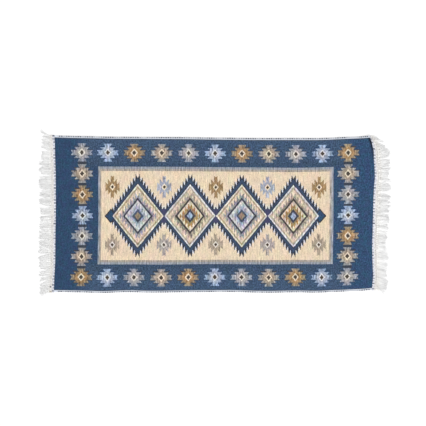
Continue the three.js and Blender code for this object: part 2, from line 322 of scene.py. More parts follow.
# The light on a level surface that reflects all of it, and the yarns' colours as that light
# shows them, in 8-bit sRGB
LIGHT_LEVEL = 1.15
SPECULAR = 0.2
YARNS = dict(
    navy_violet=(52, 73, 107), navy_teal=(47, 78, 107),
    navy_worn=(70, 91, 118), navy_shaded=(66, 84, 107),
    # Painted shade: the binding's shadow on the cloth's edges, and the shade in the curled far
    # right corner
    binding_shadow=(78, 88, 102), curl_shade=(26, 32, 48),
    ink=(58, 60, 68), band=(74, 80, 99),
    cream=(233, 213, 186), peach=(224, 205, 184),
    spike=(222, 226, 238), joint=(222, 226, 218),
    joint_navy=(76, 77, 110), ivory_green=(227, 223, 209),
    ivory_cool=(220, 221, 224), ivory_grey=(208, 208, 209),
    ivory_cream=(222, 207, 187), straw=(176, 160, 132),
    straw_grey=(178, 166, 152), ash=(152, 152, 157),
    ash_brown=(158, 148, 137), ink_violet=(70, 72, 84),
    ink_brown=(74, 71, 71), ink_blue=(76, 86, 103),
    core_blue=(155, 170, 190), core_gold=(160, 142, 116),
    comb_blue=(166, 170, 180), comb_gold=(164, 129, 81),
    heart_brown=(155, 136, 116), heart_blue=(163, 179, 204),
    grey=(171, 167, 167), grey_tip=(142, 152, 170),
    sky=(170, 179, 196), sky_tip=(144, 167, 199),
    gold=(172, 138, 98), gold_tip=(146, 140, 128),
    taupe=(172, 156, 138), taupe_tip=(152, 157, 164),
    halo_grey=(62, 72, 88), halo_blue=(48, 70, 104),
    halo_gold=(78, 70, 64), halo_brown=(66, 67, 70),
    ring_ivory=(232, 224, 214), ring_grey=(224, 226, 230),
    ring_cream=(240, 224, 200), brown=(160, 132, 97),
    field_sky=(167, 171, 186), field_taupe=(171, 157, 140),
    field_grey=(172, 164, 160), frame_outer=(153, 158, 168),
    frame_inner=(168, 160, 152), pupil=(78, 71, 64),
    field_pupil=(74, 62, 52), binding=(226, 233, 246),
    binding_outer=(270, 270, 270), binding_row=(206, 209, 216),
    binding_row_dark=(186, 190, 199), binding_dot=(40, 48, 70),
    strip=(242, 239, 235), strip_shade=(230, 227, 226),
    strip_lilac=(232, 234, 246), tick=(92, 98, 112),
    corner_knot=(184, 176, 160), fringe=(262, 262, 261),
    fringe_tip=(250, 250, 250), fringe_beige=(260, 258, 255),
)


def linear(yarn):
    """A yarn's share of the light that it sends back, with an alpha"""
    shown = np.array(YARNS[yarn]) / 255
    light = np.where(shown > 0.04045, ((shown + 0.055) / 1.055) ** 2.4, shown / 12.92)
    return (*(light / LIGHT_LEVEL), 1.0)


def smooth(share):
    """A smooth step from 0 to 1"""
    share = np.clip(share, 0, 1)
    return share * share * (3 - 2 * share)


# Reading the frame

class Outline:
    """A CAD node seen from above, as the ends of its edges in millimetres"""

    def __init__(self, node):
        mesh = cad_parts[node].data
        places = np.empty(len(mesh.vertices) * 3, np.float32)
        mesh.vertices.foreach_get("co", places)
        corners = np.empty(len(mesh.edges) * 2, np.int32)
        mesh.edges.foreach_get("vertices", corners)
        self.places = places.reshape(-1, 3)[:, :2] / MM
        self.ends = self.places[corners.reshape(-1, 2)]

    def span(self, axis, at):
        """The lowest and highest place along an axis, 0 or 1, at a place on the other one"""
        start, end = self.ends[:, 0], self.ends[:, 1]
        run = end[:, 1 - axis] - start[:, 1 - axis]
        share = (at - start[:, 1 - axis]) / np.where(run == 0, np.nan, run)
        crosses = (share >= 0) & (share <= 1)
        found = start[crosses, axis] + share[crosses] * (end - start)[crosses, axis]
        return found.min(), found.max()

    def corner(self, side_x, side_y):
        """The outermost point towards a corner. The way along the rug counts less."""
        score = CORNER_WEIGHT * side_x * self.places[:, 0] + side_y * self.places[:, 1]
        return self.places[score.argmax()]


CORNER_WEIGHT = 0.5
EDGE_STATIONS = 90
CORNER_INSET = 0.5


def read_edge(axis, side, corners):
    """An edge as places along it and how far out it is at each"""
    start, end = (corner[1 - axis] for corner in corners)
    at = np.linspace(start + CORNER_INSET, end - CORNER_INSET, EDGE_STATIONS)
    return at, np.array([outline.span(axis, place)[side] for place in at])


outline = Outline("rug_cloth")
near_left, near_right = outline.corner(-1, -1), outline.corner(1, -1)
far_left, far_right = outline.corner(-1, 1), outline.corner(1, 1)
EDGES = {
    "left": read_edge(0, 0, (near_left, far_left)),
    "right": read_edge(0, 1, (near_right, far_right)),
    "near": read_edge(1, 0, (near_left, near_right)),
    "far": read_edge(1, 1, (far_left, far_right)),
}


def edge(name, at):
    """How far out an edge of the solid cloth is at places along it"""
    return np.interp(at, *EDGES[name])


# Where the middle of the pattern lies on the floor
middle_x = (EDGES["left"][1].mean() + EDGES["right"][1].mean() - CLOTH_START - CLOTH_END) / 2
middle_y = (EDGES["near"][1].mean() + EDGES["far"][1].mean() - CLOTH_NEAR - CLOTH_FAR) / 2


def between(at, stations, values):
    """Each point's value between those at rising stations. The values may be arrays."""
    result = values[0] + 0 * at
    for low, high, start, end in zip(stations, stations[1:], values, values[1:]):
        result = np.where(at > low, start + (end - start) * (at - low) / (high - low), result)
    return np.where(at > stations[-1], values[-1], result)


def lay(u, v):
    """Where points of the flat rug lie on the floor, as arrays of x and y"""
    beyond = v - np.clip(v, CLOTH_NEAR, CLOTH_FAR)
    level = between(v, [CLOTH_NEAR, CLOTH_FAR], [edge("near", 0), edge("far", 0)]) + beyond
    stations = [line.u for line in LAID]
    placed = [
        middle_x + line.u + between(v, [-LAST_ROW, 0, LAST_ROW], line.drift[::-1])
        for line in LAID
    ]
    left, right = (
        edge(side, level) + np.interp(v, *zip(*END_SHIFT[side])) for side in ("left", "right")
    )
    x = between(u, [CLOTH_START, *stations, CLOTH_END], [left, *placed, right])
    far_row, middle_row, near_row = (
        middle_y + np.interp(u, stations, [line.rows[row] for line in LAID]) for row in range(3)
    )
    y = between(
        v,
        [CLOTH_NEAR, -LAST_ROW, 0, LAST_ROW, CLOTH_FAR],
        [edge("near", x), near_row, middle_row, far_row, edge("far", x)],
    )
    return x, y + beyond


def curl(x, y):
    """How high the far right corner lifts what lies at x, y"""
    foot_y = far_right[1] - CURL.length
    foot = np.array([edge("right", foot_y), foot_y])
    run = foot - far_right
    share = ((x - far_right[0]) * run[0] + (y - far_right[1]) * run[1]) / (run @ run)
    share = np.clip(share, 0, 1)
    away = np.hypot(x - far_right[0] - share * run[0], y - far_right[1] - share * run[1])
    return CURL.height * smooth(1 - away / CURL.spread)


def lift(u, v, x, y):
    """How high the cloth's underside stands above the floor"""
    height = curl(x, y)
    for wave in WAVES:
        turn = 2 * np.pi * (u / wave.along + v / wave.across) + wave.phase
        height = height + wave.height * (0.5 + 0.5 * np.sin(turn))
    ends = smooth((v - FOLD.near) / FOLD.fade) * smooth((FOLD.far - v) / FOLD.fade)
    ridge = np.exp(-(((u - FOLD.u) / FOLD.width) ** 2))
    return height + FOLD.height * ridge * ends


# Meshes

class Shape:
    """Points and blocks of faces. A block has corner numbers and a flat place for each corner."""

    def __init__(self):
        self.points = []
        self.blocks = []
        self.count = 0

    def add(self, points, *blocks):
        self.points.append(points.reshape(-1, 3))
        for corners, flat in blocks:
            self.blocks.append((corners + self.count, flat))
        self.count += points.size // 3


def quads(grid):
    """The four corners of each square of a grid"""
    corners = [grid[:-1, :-1], grid[1:, :-1], grid[1:, 1:], grid[:-1, 1:]]
    return np.stack(corners, 2).reshape(-1, 4, *grid.shape[2:])


def flat_grid(u, v):
    return np.stack(np.meshgrid(u, v, indexing="ij"), -1)


def new_piece(name, shape, material, maps=()):
    """A smooth mesh object, with the flat places of its shape as a map"""
    points = np.concatenate(shape.points) * MM
    faces = [face for corners, _ in shape.blocks for face in corners.tolist()]
    used = np.unique(np.concatenate([corners.ravel() for corners, _ in shape.blocks]))
    number = np.zeros(len(points), np.int64)
    number[used] = np.arange(len(used))
    faces = [[int(number[corner]) for corner in face] for face in faces]
    mesh = bpy.data.meshes.new(name)
    mesh.from_pydata(points[used].tolist(), [], faces)
    flat = np.concatenate([places.reshape(-1, 2) for _, places in shape.blocks]) * MM
    for map_name, places in (("flat", flat), *maps):
        layer = mesh.uv_layers.new(name=map_name)
        layer.data.foreach_set("uv", places.astype(np.float32).ravel())
    mesh.materials.append(material)
    mesh.shade_smooth()
    piece = bpy.data.objects.new(name, mesh)
    bpy.context.scene.collection.objects.link(piece)
    return piece


def sheet_shape(u, v, x, y, floor, thickness, inset):
    """A ribbed sheet above floor, rounded by how far inset from its rim each point is"""
    groove = RIB_DEPTH * (1 - abs(np.sin(np.pi * (v - v[0]) / RIB)))
    rounding = np.sqrt(1 - (1 - np.clip(inset / RIM, 0, 1)) ** 2)
    half = (thickness / 2 - groove) * rounding
    middle = floor + thickness / 2
    top = np.stack([x, y, middle + half], -1)
    bottom = np.stack([x, y, middle - half], -1)

    shape = Shape()
    upper = np.arange(len(u) * len(v)).reshape(len(u), len(v))
    lower = upper + upper.size
    lower[[0, -1], :] = upper[[0, -1], :]
    lower[:, [0, -1]] = upper[:, [0, -1]]
    flat = quads(flat_grid(u, v))
    shape.add(
        np.stack([top, bottom]),
        (quads(upper), flat),
        (quads(lower)[:, ::-1], flat[:, ::-1]),
    )
    return shape


def tube_shape(shape, centres, wide, high, sides, along, first):
    """Adds closed tubes through centres. A tube's flat places begin at its own first place."""
    tubes, rings = centres.shape[:2]
    forward = np.gradient(centres, axis=1)
    forward /= np.linalg.norm(forward, axis=2, keepdims=True)
    side = np.cross([0.0, 0.0, 1.0], forward)
    side /= np.linalg.norm(side, axis=2, keepdims=True)
    up = np.cross(forward, side)
    angle = np.arange(sides) / sides * 2 * np.pi
    points = (
        centres[:, :, None]
        + side[:, :, None] * wide[:, :, None, None] * np.cos(angle)[:, None]
        + up[:, :, None] * high[:, :, None, None] * np.sin(angle)[:, None]
    )
    number = np.arange(tubes * rings * sides).reshape(tubes, rings, sides)
    number = np.concatenate([number, number[:, :, :1]], 2)
    girth = np.arange(sides + 1) / sides * 2 * np.pi * YARN_RADIUS
    walls = []
    flats = []
    for tube in range(tubes):
        walls.append(quads(number[tube].T))
        flats.append(quads(flat_grid(along[tube], first[tube] + girth).transpose(1, 0, 2)))
    caps = []
    for ring, order in ((0, -1), (-1, 1)):
        places = np.zeros((tubes, sides, 2))
        places[:, :, 0] = along[:, ring, None]
        places[:, :, 1] = first[:, None]
        caps.append((number[:, ring, :sides][:, ::order], places))
    shape.add(points, (np.concatenate(walls), np.concatenate(flats)), *caps)


# Shaders

MIX_A, MIX_B, MIX_RESULT = 6, 7, 2


def add_node(tree, kind, inputs, **settings):
    """Adds a node and gives its outputs. Its inputs are fed by values, sockets or Terms."""
    node = tree.nodes.new("ShaderNode" + kind)
    for name, value in settings.items():
        setattr(node, name, value)
    for slot, value in inputs.items():
        value = getattr(value, "socket", value)
        if isinstance(value, bpy.types.NodeSocket):
            tree.links.new(value, node.inputs[slot])
        else:
            node.inputs[slot].default_value = value
    return node.outputs


class Term:
    """A number that varies over a surface. Arithmetic on it makes Math nodes."""

    def __init__(self, tree, socket):
        self.tree = tree
        self.socket = socket

    def made(self, operation, *others):
        inputs = dict(enumerate((self, *others)))
        return Term(self.tree, add_node(self.tree, "Math", inputs, operation=operation)[0])

    def __rsub__(self, other):
        return self.made("MULTIPLY_ADD", -1.0, other)

    def __invert__(self):
        return 1 - self

    def eased(self, low, high):
        """0 up to low, 1 from high, and a smooth step between"""
        inputs = {"Value": self, "From Min": low, "From Max": high}
        outputs = add_node(self.tree, "MapRange", inputs, interpolation_type="SMOOTHSTEP")
        return Term(self.tree, outputs[0])

    def change(self, name):
        """How strong a named change is at this place"""
        change = CHANGES[name]
        return self.eased(change.absent_at, change.complete_at) * change.strength


# What a Term's other operators and methods do
OPERATIONS = {
    "ADD": "__add__ __radd__",
    "SUBTRACT": "__sub__",
    "MULTIPLY": "__mul__ __rmul__ __and__",
    "DIVIDE": "__truediv__",
    "FLOORED_MODULO": "__mod__",
    "ABSOLUTE": "__abs__",
    "LESS_THAN": "__lt__",
    "GREATER_THAN": "__gt__",
    "MAXIMUM": "__or__ most",
    "MINIMUM": "least",
    "FLOOR": "floor",
    "SINE": "sine",
}
for operation, methods in OPERATIONS.items():
    for method in methods.split():
        setattr(Term, method, partialmethod(Term.made, operation))


def plain_material(name, roughness, specular):
    material = bpy.data.materials.new(name)
    material.use_nodes = True
    surface = material.node_tree.nodes["Principled BSDF"].inputs
    surface["Roughness"].default_value = roughness
    surface["Specular IOR Level"].default_value = specular
    return material, surface


def new_material(name, roughness):
    """A material, with the flat rug's u and v in millimetres"""
    material, _ = plain_material(name, roughness, SPECULAR)
    tree = material.node_tree
    places = add_node(tree, "UVMap", {}, uv_map="flat")
    parts = add_node(tree, "SeparateXYZ", {0: places[0]})
    return material, *(Term(tree, parts[axis]) / MM for axis in (0, 1))


def finished(material, colour, height, depth):
    """The material with its colour and a relief that is depth millimetres deep"""
    tree = material.node_tree
    surface = tree.nodes["Principled BSDF"].inputs
    bump = add_node(tree, "Bump", {"Distance": depth * MM, "Height": height})
    tree.links.new(colour, surface["Base Color"])
    tree.links.new(bump[0], surface["Normal"])
    return material


def vector(*parts):
    return add_node(parts[0].tree, "CombineXYZ", dict(enumerate(parts)))[0]


def noise(name, u, v):
    """A named unevenness, as Fac and Color"""
    place = vector(u / UNEVEN[name].along, v / UNEVEN[name].across)
    return add_node(u.tree, "TexNoise", {"Scale": 1.0, "Vector": place})


def uneven(name, u, v):
    """A named unevenness, within about half its strength above and below 0"""
    return (Term(u.tree, noise(name, u, v)["Fac"]) - 0.5) * UNEVEN[name].strength


def speckle(*parts):
    """A number from 0 to 1 that has nothing to do with its neighbours'"""
    tree = parts[0].tree
    return Term(tree, add_node(tree, "TexWhiteNoise", {"Vector": vector(*parts)})[0])


def mix(share, low, high):
    """A share of the high colour over the low one. Each is a yarn's name or a socket."""
    low, high = (linear(part) if isinstance(part, str) else part for part in (low, high))
    inputs = {"Factor": share, MIX_A: low, MIX_B: high}
    return add_node(share.tree, "Mix", inputs, data_type="RGBA")[MIX_RESULT]


def tinted(colour, name, u, v, amount):
    """The colour with its channels a little stronger or weaker from place to place"""
    inputs = {0: noise(name, u, v)["Color"], 1: (2 * amount,) * 3, 2: (1 - amount,) * 3}
    change = add_node(u.tree, "VectorMath", inputs, operation="MULTIPLY_ADD")
    inputs = {0: colour, 1: change[0]}
    return add_node(u.tree, "VectorMath", inputs, operation="MULTIPLY")[0]


def brightened(colour, tone):
    """The colour times a tone that varies"""
    inputs = {0: colour, "Scale": tone}
    return add_node(tone.tree, "VectorMath", inputs, operation="SCALE")[0]


# The pattern

def inside(u, v, box):
    """1 inside a box of the pattern and 0 outside it"""
    across = (u > box["start"]) & (u < box["end"])
    return across & (v > box["near"]) & (v < box["far"])


def star_mask(across, along, tiers):
    """The tiers of a star. "along" is the distance that they are stacked in."""
    mask = None
    for tier in tiers:
        growth = (tier.wide - tier.narrow) / (tier.high - tier.low)
        part = across - along * growth < tier.narrow - tier.low * growth
        part = part & (along < tier.high)
        if tier.low:
            part = part & ~(along < tier.low)
        mask = part if mask is None else mask | part
    return mask


def diamond(across, along, halves):
    """1 inside a diamond with a half width and a half height"""
    return across / halves[0] + along / halves[1] < 1


def repeats(u, middle, pitch, count):
    """In a row of motifs, the number of u's, how far u is from its middle and 1 inside the row"""
    first = middle - (count - 1) / 2 * pitch
    number = ((u - first) / pitch + 0.5).floor()
    return number, abs(u - first - number * pitch), abs(u - middle) < count / 2 * pitch


def paint_eye(canvas, star, across, along, eye, ring, pupil):
    canvas = mix(star & diamond(across, along, eye.ring), canvas, ring)
    return mix(star & diamond(across, along, eye.pupil), canvas, pupil)


def toothed(across, line):
    """How far a toothed edge reaches at a place across it"""
    cell = (across / TOOTH_PITCH).floor()
    share = across / TOOTH_PITCH - cell
    start = line.start - cell * line.fall
    rising = start + share * (line.rise / line.peak)
    drop = (line.rise + line.fall) / (1 - line.peak)
    return rising.least(start - line.fall + (1 - share) * drop)


def paint_spikes(canvas, in_chain, across, along):
    cell = ((across + SPIKE.before) / TOOTH_PITCH).floor()
    notch = BAND_EDGE.start - cell * BAND_EDGE.fall
    beyond = along - notch
    beside = across + SPIKE.before - cell * TOOTH_PITCH - beyond * SPIKE.lean
    spike = (beside < SPIKE.width) & beyond.eased(SPIKE.length, SPIKE.solid)
    spike = spike * ((cell > 0.5) * (1 - SPIKE.first) + SPIKE.first)
    return mix(in_chain & spike, canvas, "spike")


def paint_medallions(canvas, navy, u, v, mottle):
    """Paints the chain of medallions, with an arrow at each end"""
    number, across, in_chain = repeats(u, CHAIN_MIDDLE[0], MEDALLION_PITCH, MEDALLIONS)
    along = abs(v - CHAIN_MIDDLE[1])
    out = across + along / DIAMOND_SLOPE

    canvas = paint_spikes(canvas, in_chain, across, along)
    joint = abs(u - CHAIN_MIDDLE[0]) < (MEDALLIONS - 1) / 2 * MEDALLION_PITCH
    joint = joint & (across > JOINT.start)
    pale = joint & along.eased(JOINT.pale, JOINT.reach)
    canvas = mix(pale * JOINT.pale_share, canvas, "joint")

    from_teeth = along + across * (BAND_EDGE.fall / TOOTH_PITCH)
    inked = (from_teeth > BAND_INK.teeth) | (out < BAND_INK.rim)
    band = mix(inked, "band", "ink")
    band = mix(inked * BAND_INK.more + BAND_INK.least, navy, band)
    in_joint = joint & (along < JOINT.reach)
    band = mix(in_joint * JOINT.dark_share, band, "joint_navy")
    in_band = (along < toothed(across, BAND_EDGE)) | in_joint
    canvas = mix(in_chain & in_band, canvas, band)
    for arrow in ARROWS:
        for halves, yarn in (ARROW_HALVES.ink, "ink"), (ARROW_HALVES.navy, navy):
            canvas = mix(diamond(abs(u - arrow), along, halves), canvas, yarn)

    second = number % 2
    for ring in MEDALLION_RINGS:
        yarn = mix(second, *ring["yarns"])
        if "core" in ring:
            core = mix(second, *ring["core"])
            yarn = mix(out.change("core_to_comb"), core, yarn)
        change = COMB_CHANGE if "comb" in ring else RING_CHANGE
        yarn = brightened(yarn, 1 + mottle * change.tone)
        yarn = tinted(yarn, "ring_tint", u, v, change.tint)
        if "comb" in ring:
            in_ring = along < toothed(across, ring["comb"])
        else:
            in_ring = out < ring["ends"]
        canvas = mix(in_chain & in_ring, canvas, yarn)
    return canvas


def paint_field_stars(canvas, u, v, mottle):
    """Paints the two rows of small stars"""
    number, across, in_rows = repeats(u, *FIELD_STARS)
    tone = 1 + mottle * FIELD_STAR_TONE_CHANGE
    for row in FIELD_ROWS:
        along = abs(v - row.v)
        yarn = brightened(mix(number % 2, *row.yarns), tone)
        canvas = mix(in_rows & star_mask(along, across, FIELD_TIERS), canvas, yarn)
        canvas = paint_eye(canvas, in_rows, across, along, FIELD_EYE, row.ring, "field_pupil")
    return canvas


def chosen(number, part):
    """The yarn that a numbered star has for one of its parts"""
    yarn = STAR_YARNS[0][part]
    for index, yarns in enumerate(STAR_YARNS[1:]):
        yarn = mix(number > index + 0.5, yarn, yarns[part])
    return yarn


def paint_border_stars(canvas, u, v, mottle):
    """Paints the ring of stars, whose four colours follow each other"""
    column = (u / STAR_PITCH_U + 0.5).floor()
    row = (v / STAR_PITCH_V + 0.5).floor()
    across = abs(u - (column * STAR_PITCH_U).least(LAST_COLUMN).most(-LAST_COLUMN))
    along = abs(v - row * STAR_PITCH_V)
    half_columns, half_rows = (STAR_COLUMNS - 1) / 2, (STAR_ROWS - 1) / 2
    far_or_near = abs(row) > half_rows - 0.5
    left_or_right = abs(column) > half_columns - 0.5
    along = along * (1 - (left_or_right & ~far_or_near) * COLUMN_STAR_STRETCH)
    in_ring = (far_or_near | left_or_right) & (abs(column) < half_columns + 0.5)
    in_ring = in_ring & (abs(row) < half_rows + 0.5)

    on_far = row > half_rows - 0.5
    on_right = column > half_columns - 0.5
    ahead = column + half_columns + (half_rows - row)
    turned = 2 * (half_columns + half_rows) * 2 - ahead
    order = turned + (on_far | on_right) * (ahead - turned)
    number = (order % len(STAR_YARNS) + 0.5).floor()

    wide, high = BORDER_TIERS[0].wide, BORDER_TIERS[-1].high
    halo = star_mask(across - HALO.width, along - HALO.width, BORDER_TIERS)
    halo = (halo & (across < wide) & (along < high)) * HALO.strength
    canvas = mix(in_ring & halo, canvas, chosen(number, "halo"))
    between_stars = left_or_right & (along > high) & (across < BORDER_TIERS[-1].wide)
    between_stars = between_stars & (abs(v) < LAST_ROW)
    canvas = mix(in_ring & between_stars * BETWEEN_STARS, canvas, "halo_brown")
    outwards = across / wide + along / high
    tip = (across / wide).most(along / high * STAR_TIP.along)
    tip = tip.most(outwards * STAR_TIP.corner).eased(STAR_TIP.start, STAR_TIP.end)
    star = mix(tip, chosen(number, "body"), chosen(number, "tip"))
    dimmed = u.change("stars_dimmer_left") + v.change("stars_dimmer_near")
    star = brightened(star, 1 - dimmed + mottle * STAR_TONE_CHANGE)
    canvas = mix(in_ring & star_mask(across, along, BORDER_TIERS), canvas, star)
    ring = chosen(number, "ring")
    return paint_eye(canvas, in_ring, across, along, BORDER_EYE, ring, "pupil")


def navy_yarn(u, v, woven_u, woven_v, depth):
    """The navy ground, which is worn along the long sides and has painted shade beside the frame
    """
    patch = uneven("patch", woven_u, woven_v).eased(-PATCH_EDGE, PATCH_EDGE)
    navy = mix(patch, "navy_violet", "navy_teal")
    navy = brightened(navy, 1 + u.change("navy_brighter"))
    worn = abs(u).change("worn_along") * (WORN.least + abs(v).change("worn_across"))
    # Next to the frame the worn navy is navy_shaded, a painted shade; further out it is the
    # lighter worn navy
    worn_and_shaded_navy = mix(abs(v).change("worn_outside"), "navy_shaded", "navy_worn")
    navy = mix(worn * WORN.strength, navy, worn_and_shaded_navy)
    roughness = 1.0 + worn * WORN.rougher + u.change("navy_rougher")
    return brightened(navy, NAVY_TONE + depth * roughness)


def wool_material():
    """The cloth's pattern and weave. Each pick of the weft has one colour."""
    material, u, v = new_material("woven_wool", 0.95)
    rib = ((v - CLOTH_NEAR) / RIB).floor()
    step = (rib % 2) * (PICK / 2)
    pick = ((u + step) / PICK).floor()
    woven_u = (pick + 0.5) * PICK - step
    woven_v = (rib + 0.5) * RIB + CLOTH_NEAR
    shown_u = woven_u + uneven("wander", u, v)
    fray = uneven("fray", u, v)
    depth = uneven("depth", woven_u, woven_v)
    streak = uneven("streak", woven_u, woven_v)
    mottle = uneven("mottle", woven_u, woven_v) + streak

    navy = navy_yarn(u, v, woven_u, woven_v, depth)
    half_way = {side: (FIELD[side] + FRAME[side]) / 2 for side in FIELD}
    canvas = mix(inside(u, v, half_way), "frame_outer", "frame_inner")
    frame_tone = 1 + uneven("frame", woven_u, woven_v) + u.change("frame_brighter")
    canvas = brightened(canvas, frame_tone)
    canvas = mix(inside(u, v, FRAME), navy, canvas)
    canvas = mix(inside(u, v, FIELD), canvas, "cream")
    canvas = paint_medallions(canvas, navy, shown_u, woven_v, mottle)
    canvas = paint_field_stars(canvas, shown_u + fray * 0.5, woven_v, mottle)
    canvas = paint_border_stars(canvas, shown_u + fray, woven_v, mottle)
    # Painted shadow of the binding along the cloth's two long edges
    canvas = mix(abs(v).change("binding_shadow"), canvas, "binding_shadow")
    # Painted shade along the far right edge, where the cloth's corner curls up
    curl_shade_mask = u.change("curl_shade_end") & v.change("curl_shade_far")
    canvas = mix(curl_shade_mask, canvas, "curl_shade")

    canvas = tinted(canvas, "cloth_tint", u, v, UNEVEN["cloth_tint"].strength)
    bead = abs(((u + step) * (np.pi / PICK)).sine())
    grain = speckle(rib, pick) - 0.5
    tone = CLOTH_TONE.whole + streak * CLOTH_TONE.streak + depth * CLOTH_TONE.depth
    colour = brightened(canvas, tone + grain * CLOTH_TONE.grain)
    return finished(material, colour, bead, PICK_DEPTH)


def binding_material():
    """White overcast yarn, with a row of dots. v is how far out a place is."""
    material, u, v = new_material("binding_yarn", 0.9)
    first, last, soft = BINDING_ROW.start, BINDING_ROW.end, BINDING_ROW.soft
    row = v.eased(first - soft, first + soft) & v.eased(last + soft, last - soft)
    row = row & abs(u).change("binding_ends")
    pair = u / (2 * STITCH)
    dot = abs(pair % 1 - 0.5) < BINDING_ROW.dot / 2
    cell = pair.floor()
    strength = uneven("dots", u, u).eased(DOT_STRENGTH.none, DOT_STRENGTH.full)
    each = DOT_STRENGTH.least + speckle(cell, cell) * DOT_STRENGTH.more
    strength = (strength * each).least(1)
    colour = mix(v > last, "binding", "binding_outer")
    colour = mix(row, colour, mix(strength, "binding_row", "binding_row_dark"))
    colour = mix(row & dot & strength, colour, "binding_dot")
    turn = abs((u * (np.pi / STITCH)).sine())
    return finished(material, colour, turn, YARN_RELIEF)


def strip_colour(u, v, out, on_right):
    """The strip, with its ticks and the twine that is wound round it"""
    edge_of_cloud = STRIP_TONE.cloud_edge
    cloud = uneven("cloud", u, v).eased(-edge_of_cloud, edge_of_cloud)
    strip = mix(cloud, "strip_shade", "strip")
    strip = mix(out.change("strip_lilac"), strip, "strip_lilac")
    cell = (v / TICK.pitch).floor()
    length = speckle(cell, cell)
    length = TICK.shortest + length * (TICK.longest - TICK.shortest)
    strength = speckle(cell + 0.5, cell) * (1 - TICK.palest) + TICK.palest
    ticked = (v / TICK.pitch - cell < TICK.width) & (out < length)
    strip = mix(ticked * strength, strip, "tick")

    second = (out > SECOND_TICK.start) & (out < SECOND_TICK.end)
    second = second & on_right & (v < SECOND_TICK.far)
    second = second & ((v / SECOND_TICK.pitch) % 1 < SECOND_TICK.width)
    strip = mix(second * strength * SECOND_TICK.share, strip, "tick")
    twine = speckle((out / TWINE).floor(), (v / TWINE).floor()) - 0.5
    tone = 1 + twine * STRIP_TONE.twine + on_right * STRIP_TONE.right
    return brightened(strip, tone)


def loose_colour(v, out, on_right):
    """The knots and the loose yarns, each with its own tone"""
    bundle, yarn = ((v / gap).floor() for gap in (BUNDLE_GAP, YARN_GAP))
    # The loose yarns turn greyer towards their tips: painted shade for the strands' shadows on
    # the floor
    loose = mix(out.change("loose_to_tip"), "fringe", "fringe_tip")
    from_knots = out - on_right * KNOTS_FURTHER_LEFT
    loose = mix(from_knots.change("knots_beige"), loose, "fringe_beige")
    contrast = LOOSE_TONE.bundle + on_right * LOOSE_TONE.bundle_right
    tone = 1 + on_right * LOOSE_TONE.right + (speckle(bundle, bundle) - 0.5) * contrast
    # Painted shade on the knots of the left fringe, and a little painted light on the right
    # fringe's yarn just beyond its knots
    necks = out.change("necks_from") & out.change("necks_to")
    tone = tone + (necks & on_right) - (out.change("knots_darker_left") & ~on_right)
    tone = tone + (speckle(yarn, yarn) - 0.5) * LOOSE_TONE.yarn
    return brightened(loose, tone)


def fringe_material():
    """Cotton for both fringes. out is how far a place is from the cloth."""
    material, u, v = new_material("fringe_cotton", 0.9)
    out = abs(u)
    on_right = u > 0
    strip = strip_colour(u, v, out, on_right)
    loose = loose_colour(v, out, on_right)
    colour = mix(out.change("strip_to_loose"), strip, loose)

    shade = v.change("far_strip_shade") & (v < FIRST_YARN / 2)
    shade = shade | ((v - FIRST_YARN) / BUNDLE_GAP).change("far_lock_shade")
    colour = brightened(colour, 1 - (shade & on_right))
    knot = out.change("corner_knot_from") & out.change("corner_knot_to")
    knot = knot & (v < CORNER_KNOT_V) & ~on_right
    colour = mix(knot, colour, "corner_knot")
    across, along = out - CORNER_DOT.out, v - CORNER_DOT.v
    dot = (across * across + along * along < CORNER_DOT.radius ** 2) & ~on_right
    colour = mix(dot * CORNER_DOT.strength, colour, "tick")
    ply = ((u / PLY.along + v / PLY.across) * (2 * np.pi)).sine()
    return finished(material, colour, ply, YARN_RELIEF)


# The pieces

def make_cloth(material):
    """The ribbed cloth"""
    ends = np.array([0, 0.3 * RIM, RIM])
    inner = np.linspace(CLOTH_START + RIM, CLOTH_END - RIM, COLUMNS + 1)[1:-1]
    u = np.concatenate([CLOTH_START + ends, inner, CLOTH_END - ends[::-1]])
    ribs = round((CLOTH_FAR - CLOTH_NEAR) / RIB)
    v = np.linspace(CLOTH_NEAR, CLOTH_FAR, ribs * ROWS_PER_RIB + 1)
    flat_u, flat_v = np.meshgrid(u, v, indexing="ij")
    x, y = lay(flat_u, flat_v)
    floor = lift(flat_u, flat_v, x, y)
    from_end = np.minimum(flat_u - CLOTH_START, CLOTH_END - flat_u)
    from_side = np.minimum(flat_v - CLOTH_NEAR, CLOTH_FAR - flat_v)
    shape = sheet_shape(u, v, x, y, floor, THICKNESS, np.minimum(from_end, from_side))

    # The two faces side by side in the square that the colours are baked into
    share = quads(flat_grid(np.linspace(0, 1, len(u)), np.linspace(0, 1, len(v))))
    front = share * (1, 0.5) + (0, 0.5)
    back = share[:, ::-1] * (1, 0.5)
    bake = np.concatenate([front.reshape(-1, 2), back.reshape(-1, 2)])
    piece = new_piece("kilim_cloth", shape, material, maps=(("OFBake", bake),))
    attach(piece, "root")
    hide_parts("rug_cloth")
    return piece


